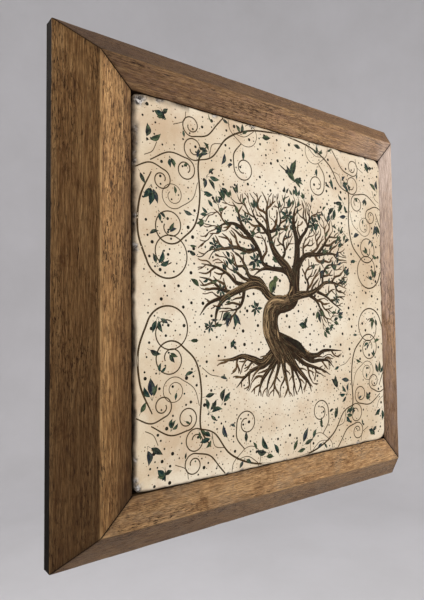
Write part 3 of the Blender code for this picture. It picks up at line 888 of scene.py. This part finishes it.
ROOTS = [
    ((-13, -48, 7), (-27, -59, 7.5), (-38, -56, 6.4), (-50, -53, 5), (-62, -55, 3.3), (-76, -55, 0.7)),
    ((-14, -43, 3), (-14, -53, 6), (-25, -62, 5), (-38, -65, 3.8), (-48, -71, 2.6), (-57, -79, 0.7)),
    ((-8, -34, 4), (3, -42, 12), (16, -49, 13), (30, -56, 8.5), (42, -56, 5), (54, -52, 3.6),
     (78, -53, 0.7)),
    ((18, -53, 6), (34, -61, 4.6), (47, -61, 3.6), (58, -62, 2.4), (66, -69, 0.7)),
    ((4, -46, 3), (12, -54, 6), (25, -63, 4.6), (38, -67, 3.4), (51, -71, 2.2), (61, -76, 0.7)),
    ((-3, -43, 3), (6, -54, 6), (15, -66, 5.4), (24, -75, 4.8), (31, -82, 2.8), (34, -90, 0.7)),
    ((-5, -43, 3), (1, -56, 6), (8, -65, 4), (10, -76, 3), (14, -91, 0.7)),
    ((-8, -43, 3), (-3, -56, 6), (-1, -68, 5), (2, -79, 3.6), (6, -92, 0.7)),
    ((-10, -44, 3), (-7, -56, 6), (-9, -67, 3.8), (-13, -77, 2.8), (-15, -90, 0.7)),
    ((-13, -43, 3), (-11, -55, 6), (-20, -66, 4.6), (-28, -75, 3.8), (-33, -88, 0.7)),
    ((-9, -56, 5), (-15, -66, 3.2), (-21, -77, 2.4), (-23, -89, 0.7)),
    ((4, -56, 5), (14, -71, 3), (19, -80, 2.4), (22, -91, 0.7)),
]


def limb(points):
    """A limb's even path and its widths."""
    run = smooth(points, 1.5)
    return run[:, :2], run[:, 2]


def softened(path, rounds=2):
    for _ in range(rounds):
        path = np.vstack([path[:1], (path[:-2] + 2 * path[1:-1] + path[2:]) / 4, path[-1:]])
    return path


class Growth:
    """Limbs with twigs that fork outwards and keep clear of one another."""

    def __init__(self, limbs, inside, middle, clear, rng):
        self.inside = inside
        self.clear = clear
        self.middle = np.array(middle)
        self.rng = rng
        self.spots = np.zeros((0, 4))  # x, z, half the width and the number of the limb
        self.twigs = []
        for path, widths in limbs:
            self.keep(path, widths)
        self.limbs = len(limbs)

    def keep(self, path, widths):
        number = np.full(len(path), len(self.twigs))
        self.spots = np.vstack([self.spots, np.column_stack([path, widths / 2, number])])
        self.twigs.append((path, widths))

    def shoot(self, start, heading, length, parent, room):
        """A twig's path. It stops where it would meet another limb or leave its space."""
        step, rng = 1.3, self.rng
        path = [start]
        x, z, rooms, limbs = self.spots.T
        bend, phase = rng.uniform(5, 14), rng.uniform(0, 2 * math.pi)
        for i in range(int(length / step)):
            outward = heading_of(path[-1] - self.middle)
            heading += bend * math.sin(phase + i * 0.5) + 0.06 * ((outward - heading + 180) % 360 - 180)
            ahead = turned((step, 0), heading, path[-1])
            crowded = np.hypot(x - ahead[0], z - ahead[1]) - rooms < self.clear
            if i * step < room + 4:
                crowded &= limbs != parent
            if crowded.any() or not self.inside(*ahead):
                break
            path.append(ahead)
        return np.array(path)

    def sprout(self, parent, at, heading, length):
        path, widths = self.twigs[parent]
        length *= self.rng.uniform(0.7, 1.25)
        twig = self.shoot(path[at], heading, length, parent, widths[at] / 2)
        if len(twig) > 4:
            start = max(1.25, min(0.9 * widths[at], 0.11 * len(twig) + 1.1))
            along = np.linspace(0, 1, len(twig))
            self.keep(softened(twig), np.interp(along, (0, 0.6, 1), (start, 0.8 * start, 0.9)))

    def fork(self, lengths, gaps):
        """Side shoots along every limb, and a fork at its end, level after level."""
        first, rng = 0, self.rng
        for length, gap in zip(lengths, gaps):
            last = len(self.twigs)
            for parent in range(first, last):
                path, _ = self.twigs[parent]
                end = len(path) - 1
                headings = [heading_of(ahead) for ahead in np.gradient(path, axis=0)]
                for side in (1, -1):
                    self.sprout(parent, end, headings[end] + side * rng.uniform(16, 34), length)
                side = 1 if rng.uniform() < 0.5 else -1
                at = end - rng.uniform(0.5, 1) * gap
                while at > 2:
                    self.sprout(parent, int(at), headings[int(at)] + side * rng.uniform(28, 48), length)
                    side = -side
                    at -= rng.uniform(0.7, 1.3) * gap
            first = last


def bark(paint, path, widths, light, rng):
    """Short streaks along a limb: paler towards its upper left, darker towards its lower right."""
    ahead = np.gradient(path, axis=0)
    for i in range(int(widths.sum() / 9) + 3):
        start = rng.integers(-3, len(path) - 3)
        run = slice(max(0, start), start + rng.integers(6, 18))
        if len(path[run]) < 3:
            continue
        place = rng.uniform(-0.44, 0.44)
        way = ahead[run].mean(0)
        lit = way.sum() / (1.41 * np.hypot(*way))
        value = np.clip(light + 0.9 * place * lit + rng.normal(0, 0.28), 0, 1) ** 1.2
        tone = [int(dark + (pale - dark) * value) for dark, pale in zip(UMBER, TAN)]
        u = np.linspace(0, 1, len(path[run]))
        drift = 0.07 * np.sin(2 * np.pi * (u * rng.uniform(0.3, 0.8) + rng.uniform()))
        if abs(place) > 0.37:
            streak = offset(path, widths * place)[run]
        else:
            streak = offset(path[run], widths[run] * (place + drift))
        thick = rng.choice((0.03, 0.05, 0.08)) * widths[run] + 0.3
        paint.stroke(streak, thick * np.sin(np.pi * (0.06 + 0.88 * u)) ** 0.6, tone, 3 + i % 5)


def in_crown(x, z):
    hollow = math.hypot(x + 12, z - 11) < 13 or (z < 2 and abs(x - 2) < 36 - 0.4 * z)
    return abs((x + 3) / 93) ** 2.3 + abs((z - 26) / 68) ** 2.3 < 1 and not hollow


def in_earth(x, z):
    return z < -53 and abs(x / (78 if z > -60 else 66)) ** 2 + ((z + 56) / 37) ** 2 < 1


def paint_wood(base, streaks, limbs, growth, light, rng):
    """Limbs and the twigs on them. Returns the twigs' tips and headings."""
    tips = []
    for path, widths in growth.twigs[growth.limbs:]:
        shade = rng.uniform(1.1, 1.9)
        base.stroke(path, widths, [int(c * shade) for c in UMBER], 0)
        if widths.max() > 1.6:
            bark(streaks, path, widths, light, rng)
        tips.append((path[-1], heading_of(path[-1] - path[-3])))
    for number, (path, widths) in enumerate(limbs):
        base.stroke(path, widths, UMBER, 1)
        bark(streaks, path, widths, light + 0.4 * math.cos(0.7 * (number - 7)), rng)
    return tips


def paint_tree(base, streaks, rng):
    """The trunk, its limbs and roots. Returns the crown's twig tips and every point on the tree."""
    trunk, *limbs = [limb(points) for points in [TRUNK] + LIMBS]
    crown = Growth([*limbs, trunk], in_crown, (4, -12), 1.05, rng)
    crown.fork((26, 18, 12, 9), (3.2, 3.6, 3.4, 3))
    tips = paint_wood(base, streaks, limbs, crown, 0.55, rng)
    roots = [limb(points) for points in ROOTS]
    earth = Growth(roots, in_earth, (0, -30), 0.8, rng)
    earth.fork((18, 13, 9, 6), (3.6, 3.6, 3.2, 3))
    paint_wood(base, streaks, roots, earth, 0.68, rng)
    path, widths = trunk
    base.stroke(path, widths, UMBER, 2)
    bend = np.flatnonzero(path[:, 0] < 9)[-1]  # where it turns up again
    for _ in range(3):
        bark(streaks, path[:bend], widths[:bend], 0.34, rng)
    bark(streaks, path[bend:], widths[bend:], 0.2, rng)
    hollow = smooth(((-1, -38, 2), (8, -41, 5), (18, -46, 7), (27, -53, 3)), 1.2)
    streaks.stroke(hollow[:, :2], hollow[:, 2], (30, 21, 12), 8)
    return tips, np.vstack([crown.spots, earth.spots])[:, :2]


def flower(paint, centre, radius, rng):
    """Petals round a dark eye."""
    petals = 7
    for i in range(petals):
        turn = 360 / petals * i + rng.uniform(-8, 8)
        foot = turned((radius * 0.1, 0), turn, centre)
        leaf(paint, foot, turn, radius * rng.uniform(0.8, 1.05), SLATE if i % 3 == 1 else TEAL, 0.4, 0.0)
    paint.shape(disc(centre, radius * 0.2), SLATE, 3)


def butterfly(paint, centre, size, heading):
    """Two pairs of wings, half folded, on a slim body."""
    fore_wings = ((62, 0.62, 0.62, TEAL), (100, 0.5, 0.6, GREEN))
    hind_wings = ((-58, 0.5, 0.55, SLATE), (150, 0.34, 0.6, TEAL))
    for turn, length, fat, tone in fore_wings + hind_wings:
        leaf(paint, centre, heading + turn, size * length, tone, fat, 0.08)
    body = size * np.array(((-0.32, -0.04), (0, 0), (0.25, 0.03)))
    body = turned(smooth(body, 0.8), heading, centre)
    paint.stroke(body, taper(len(body), 0.1 * size), SLATE, 4)
    for bend in (0.1, 0.3):
        feeler = size * np.array(((0.2, 0), (0.36, bend * 0.5), (0.42, bend)))
        feeler = turned(smooth(feeler, 0.6), heading, centre)
        paint.stroke(feeler, taper(len(feeler), 0.3, 1, 0.5), SLATE, 4)


def bird(paint, centre, size):
    """A small hovering bird with raised wings and a long bill."""
    for foot, heading, length, tone, fat in (
        ((0.0, 0.02), 72, 0.62, GREEN, 0.34), ((0.02, 0.0), 92, 0.5, TEAL, 0.36),
        ((-0.06, 0.02), 55, 0.4, SLATE, 0.3), ((-0.02, 0.05), 128, 0.38, SLATE, 0.34),
        ((0.0, 0.03), 150, 0.3, GREEN, 0.4), ((0.1, -0.05), -20, 0.42, TEAL, 0.3),
        ((0.08, -0.06), -42, 0.4, GREEN, 0.28), ((0.12, -0.04), -5, 0.34, SLATE, 0.3),
        ((-0.26, 0.14), -38, 0.52, GREEN, 0.4),
    ):
        leaf(paint, centre + size * np.array(foot), heading, length * size, tone, fat, 0.06)
    paint.shape(disc(centre + size * np.array((-0.24, 0.13)), 0.075 * size), SLATE, 3)
    bill = centre + size * smooth(((-0.28, 0.15), (-0.4, 0.21), (-0.56, 0.3)), 0.04)
    paint.stroke(bill, taper(len(bill), 0.045 * size, 1, 0.2), UMBER, 4)


def perched_bird(paint, centre, size):
    leaf(paint, centre + size * np.array((-0.3, -0.42)), 62, 0.84 * size, MOSS, 0.56, 0.05)
    leaf(paint, centre + size * np.array((0.02, 0.06)), 244, 0.56 * size, SLATE, 0.34, 0.05)
    paint.shape(disc(centre + size * np.array((0.04, 0.25)), 0.155 * size), MOSS, 3)
    bill = centre + size * smooth(((0.15, 0.28), (0.22, 0.26), (0.27, 0.21)), 0.03)
    paint.stroke(bill, taper(len(bill), 0.06 * size, 1, 0.3), UMBER, 4)


def gap_to(points, place):
    """The distance from a place to the nearest of some points."""
    return np.hypot(*(np.array(points) - place).T).min()


def paint_foliage(paint, tips, wood, rng):
    """Leaf sprays at many of the twig ends, clustered as trees hold them, and seeds in the gaps."""
    placed = [(0, 0)]
    for (x, z), heading in tips:
        if gap_to(placed, (x, z)) < 5.5:
            continue
        clump = math.sin(x * 0.11 + 1.3) + math.sin(z * 0.13 - 0.6) + math.sin((x - z) * 0.07)
        upwards = heading + 0.3 * ((90 - heading + 180) % 360 - 180)
        if clump + rng.normal(0, 1.0) > 0.0:
            placed.append((x, z))
            spray(paint, (x, z), upwards, rng.choice((1, 1, 2, 3)), 80, rng.uniform(7.0, 10.5), rng)
    for x, z in rng.uniform((-92, -20), (88, 92), (900, 2)):
        if in_crown(x, z) and 2.2 < gap_to(wood, (x, z)) < 6 and gap_to(placed, (x, z)) > 6:
            placed.append((x, z))
            leaf(paint, (x, z - 1.3), 90 + rng.uniform(-25, 25), rng.uniform(2.0, 3.0), DOT, 0.7, 0)


# Dots: how many, their radii, the gap between them, the chance of one in a free place and in one
# below the tree, the share that are dark, and the tone of the others
DOTS = [
    (200, (1.15, 1.75), 8, (0.9, 0.25), 1.0, TEAL),
    (430, (0.7, 1.05), 4.4, (0.9, 0.9), 0.88, TEAL),
    (1200, (0.36, 0.6), 2.6, (0.45, 0.95), 0.4, RUST),
]


def paint_dots(paint, obstacles, rng):
    """Scattered dots, the large ones first."""
    placed = [(math.inf, math.inf)]
    for count, radii, gap, chances, dark, other in DOTS:
        made = 0
        for x, z in rng.uniform(-146, 146, (count * 5, 2)):
            if made == count:
                break
            if gap_to(obstacles, (x, z)) < radii[1] + 0.9 or gap_to(placed, (x, z)) < gap:
                continue
            if rng.uniform() > chances[int(z < -70 and abs(x) < 90)]:
                continue
            placed.append((x, z))
            made += 1
            tone = DOT if rng.uniform() < dark else other
            paint.shape(disc((x, z), rng.uniform(*radii), 8), tone, 0)


# Places, with a flower's radius, a butterfly's size and heading, or a spray's heading, number of
# leaves, spread and length
FLOWERS = [
    ((-34, -12), 7), ((-44, 66), 6), ((-34, 30), 9), ((-72, 3), 6), ((-84, -27), 6),
    ((-78, 40), 7), ((82, 16), 6), ((72, -2), 6), ((40, 70), 9), ((6, 74), 9),
]
BUTTERFLIES = [
    ((27, -26), 14, 120), ((-60, -44), 10, 20), ((80, 55), 10, 160), ((-127, 139), 14, 110),
    ((127, 139), 14, 70), ((-127, -139), 14, 80), ((127, -139), 14, 100),
]
LOW_SPRAYS = [((-60, -13), 262, 4, 110, 15), ((45, -11), 285, 3, 90, 12)]
BOTTOM_SPRAYS = [
    ((20, -139), 40, 2, 90, 16), ((8, -144), 60, 1, 0, 12), ((34, -136), 60, 1, 0, 10),
    ((-20, -139), 140, 2, 90, 16), ((-8, -144), 120, 1, 0, 12), ((-34, -136), 120, 1, 0, 10),
]


def draw_picture(vines, leaves, dots, tree, streaks, rng):
    lines = paint_vines(vines, leaves, rng)
    tips, wood = paint_tree(tree, streaks, rng)
    paint_foliage(leaves, tips, wood, rng)
    for looks in FLOWERS:
        flower(leaves, *looks, rng)
    for looks in LOW_SPRAYS:
        spray(leaves, *looks, rng)
    bird(leaves, (13, 112), 30)
    perched_bird(leaves, (-11, 10), 20)
    for looks in BUTTERFLIES:
        butterfly(leaves, *looks)
    for looks in BOTTOM_SPRAYS:
        spray(leaves, *looks, rng)
    paint_dots(dots, np.vstack([lines, wood]), rng)


def add_picture():
    vines, leaves, dots, tree, streaks = (Paint() for _ in range(5))
    draw_picture(vines, leaves, dots, tree, streaks, np.random.default_rng(11))
    ink = paint_finish("printed_ink", 0.15)
    vines.build("painted_vines", ink)
    dots.build("painted_dots", ink)
    tree.build("painted_tree", ink)
    streaks.build("painted_bark", ink)
    leaves.build("painted_leaves", paint_finish("printed_leaves", 0.75))


# ---- back


def add_bumpers():
    """Felt pads: soft-edged discs whose rim and face are a little uneven."""
    finish = felt()
    profile = [(0.45, 1), (0.8, 0.98), (0.93, 0.86), (0.99, 0.5), (1, 0), (0.99, -0.6), (0.95, -1)]
    share, level = np.array(profile).T[..., None]
    angle = np.linspace(0, 2 * math.pi, 48, endpoint=False)
    rough = share * (0.985 + 0.015 * cells(angle * 5, level * 3, 31))
    for side in ("left", "right"):
        low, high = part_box("felt_bumper_" + side)
        radius, half = (high.x - low.x) / 2 * rough, (high.y - low.y) / 2
        points = np.stack([radius * np.cos(angle), half * level + 0 * angle, radius * np.sin(angle)], -1)
        mesh = new_mesh("felt_pad", points, band(len(level), len(angle)))
        name, node = "felt_pad_" + side, "felt_bumper_" + side
        add_piece(name, mesh, finish, "felt", (low + high) / 2, node=node)


def add_adhesive():
    """Squeezed beads of adhesive on the ledges, behind the tile."""
    finish = adhesive()
    t = np.linspace(-1, 1, 120)[:, None]
    angle = np.linspace(0, 2 * math.pi, 12, endpoint=False)
    flat = np.sign(np.sin(angle)) * np.abs(np.sin(angle)) ** 0.6
    for number, side in enumerate(RAILS):
        low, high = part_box("adhesive_bead_" + side)
        wide, thick, tall = high - low
        along, across, turn = (wide, tall, 0) if wide > tall else (tall, wide, math.pi / 2)
        swell = np.sqrt(np.clip(1 - t**8, 0, 1)) * (0.8 + 0.2 * cells(t * 9, number, 40))
        points = np.broadcast_arrays(t * along / 2, flat * thick / 2, np.cos(angle) * swell * across / 2)
        mesh = new_mesh("squeezed_bead", np.stack(points, -1), band(len(t), len(angle)))
        name, node = "squeezed_bead_" + side, "adhesive_bead_" + side
        add_piece(name, mesh, finish, "adhesive", (low + high) / 2, turn, node)


def finish_hardware():
    zinc = metal("zinc_plated_steel", (196, 198, 200), (138, 136, 130), 0.28)
    finishes = {
        "v_nail": zinc,
        "board_screw": zinc,
        "hanger_screw": zinc,
        "sawtooth_hanger": metal("brassed_steel", (206, 172, 104), (132, 100, 60), 0.3),
        "backing_board": hardboard(),
    }
    for name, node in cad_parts.items():
        for start, finish in finishes.items():
            if name.startswith(start):
                node.data.materials.clear()
                node.data.materials.append(finish)


# ---- stage


def add_stage():
    """A pale floor that sweeps up into a wall all round, well away from the object."""
    floor_z, reach, rise, sweep, sides = -1.2, 3.4, 3.6, 0.9, 96
    bend = np.linspace(0, math.pi / 2, 13)
    radii = [0.001, 1.2, *(reach - sweep + sweep * np.sin(bend)), reach]
    heights = [0, 0, *(sweep - sweep * np.cos(bend)), rise]
    turns = np.linspace(0, 2 * math.pi, sides, endpoint=False)
    vertices = [
        (radius * math.cos(turn), radius * math.sin(turn), floor_z + height)
        for radius, height in zip(radii, heights) for turn in turns
    ]
    mesh = bpy.data.meshes.new("studio_sweep")
    mesh.from_pydata(vertices, [], band(len(radii), sides, ends=False))
    mesh.shade_smooth()
    mesh.materials.append(plaster())
    add_object("studio_sweep", mesh)


def add_lamp(name, place, size, power, colour=(1, 1, 1)):
    """A soft lamp aimed at the middle of the frame."""
    light = bpy.data.lights.new(name, "AREA")
    light.shape = "RECTANGLE"
    light.size, light.size_y = size
    light.energy = power
    light.color = colour
    lamp = add_object(name, light)
    lamp.location = place
    lamp.rotation_euler = (Vector((0, 0, CENTRE_Z)) - Vector(place)).to_track_quat("-Z", "Y").to_euler()
    lamp.visible_camera = False


def add_lights():
    add_lamp("key", (1.3, -2.0, 0.9), (1.2, 1.2), 44, (1.0, 0.985, 0.96))
    add_lamp("window", (2.1, -1.4, 0.9), (1.4, 1.0), 24, (0.97, 0.98, 1.0))
    add_lamp("fill", (-1.6, -1.9, 0.3), (1.8, 1.8), 5, (1.0, 0.98, 0.96))
    add_lamp("rear", (-1.1, 1.6, 0.9), (1.4, 1.4), 26)
    world = bpy.data.worlds.new("studio")
    world.use_nodes = True
    background = world.node_tree.nodes["Background"]
    background.inputs["Color"].default_value = (0.86, 0.86, 0.88, 1)
    background.inputs["Strength"].default_value = 0.6
    bpy.context.scene.world = world


def add_camera():
    """Left of the object and close to it, looking right and a little up."""
    camera = bpy.data.cameras.new("view")
    camera.lens = LENS
    camera.sensor_width = 36
    camera.clip_start = 0.01
    eye = add_object("view", camera)
    eye.location = (EYE_X, EYE_Y - RAIL_DEPTH, EYE_Z + CENTRE_Z)
    turn, tilt, roll = (math.radians(angle) for angle in (TURN, TILT, ROLL))
    level = Matrix.Rotation(turn, 3, "Z") @ Matrix.Rotation(tilt, 3, "X") @ Matrix.Rotation(roll, 3, "Y")
    right, ahead, up = level.col
    eye.rotation_euler = Matrix((right, up, -ahead)).transposed().to_euler()
    bpy.context.scene.camera = eye


add_camera()
add_rails()
add_tile()
add_picture()
add_bumpers()
add_adhesive()
finish_hardware()
add_stage()
add_lights()
bpy.context.scene.view_settings.view_transform = "Standard"
bpy.context.view_layer.update()
